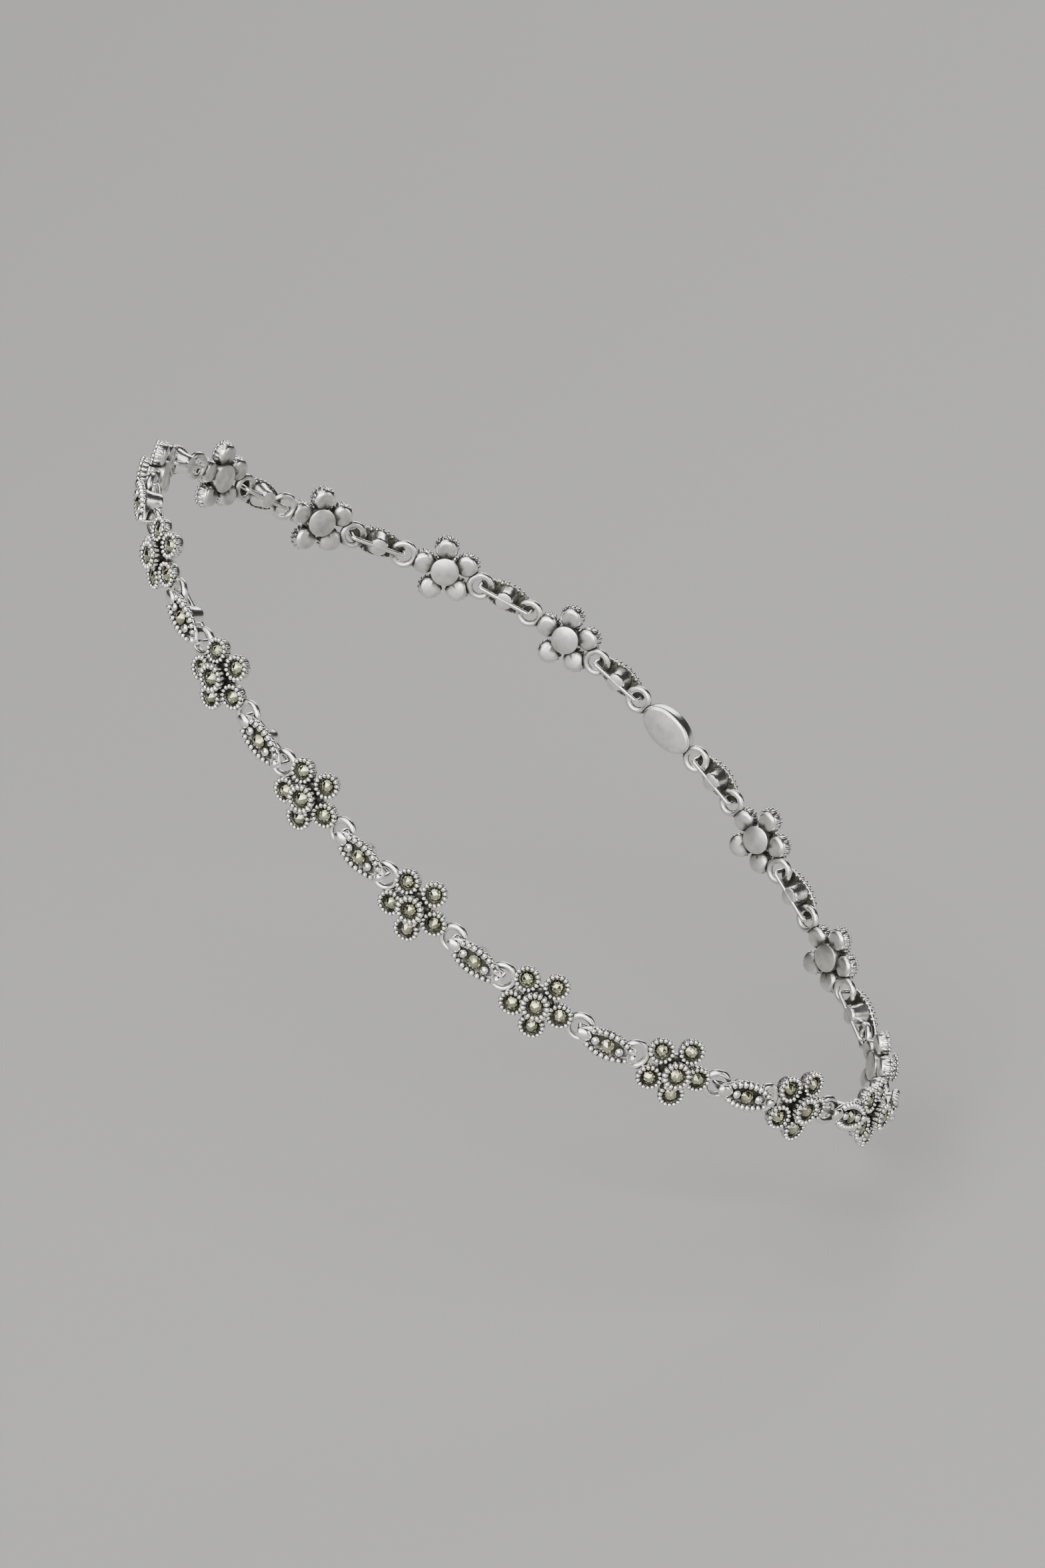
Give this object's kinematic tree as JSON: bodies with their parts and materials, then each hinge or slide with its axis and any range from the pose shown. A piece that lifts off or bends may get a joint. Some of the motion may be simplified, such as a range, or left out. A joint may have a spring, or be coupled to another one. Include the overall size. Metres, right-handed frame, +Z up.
{
  "type": "anklet",
  "caption": "Slim anklet in its worn, sloping shape: a closed chain of five-petalled flower links and pointed navette links set with marcasites, with a plain clasp at the back.",
  "frame": {"origin": "middle of the ankle's hollow, where the leg passes through the loop", "axes": "+Z up, +X to the wearer's side where the chain lies lowest, -Y towards the front of the loop"},
  "size_m": [0.0756, 0.0656, 0.066],
  "materials": {
    "silver": "sterling silver, polished on the high places and blackened in the recesses",
    "marcasite": "rose-cut marcasite, dark olive-grey with a metal lustre"
  },
  "bodies": {
    "root": {"flower_01": "silver", "flower_02": "silver", "flower_03": "silver", "flower_04": "silver", "flower_05": "silver", "flower_06": "silver", "flower_07": "silver", "flower_08": "silver", "flower_09": "silver", "flower_10": "silver", "flower_11": "silver", "flower_12": "silver", "flower_13": "silver", "flower_14": "silver", "flower_15": "silver", "flower_16": "silver", "navette_01": "silver", "navette_02": "silver", "navette_03": "silver", "navette_04": "silver", "navette_05": "silver", "navette_06": "silver", "navette_07": "silver", "navette_08": "silver", "navette_09": "silver", "navette_10": "silver", "navette_11": "silver", "navette_12": "silver", "navette_13": "silver", "navette_14": "silver", "navette_15": "silver", "navette_16": "silver", "navette_17": "silver", "clasp": "silver"}
  },
  "joints": []
}
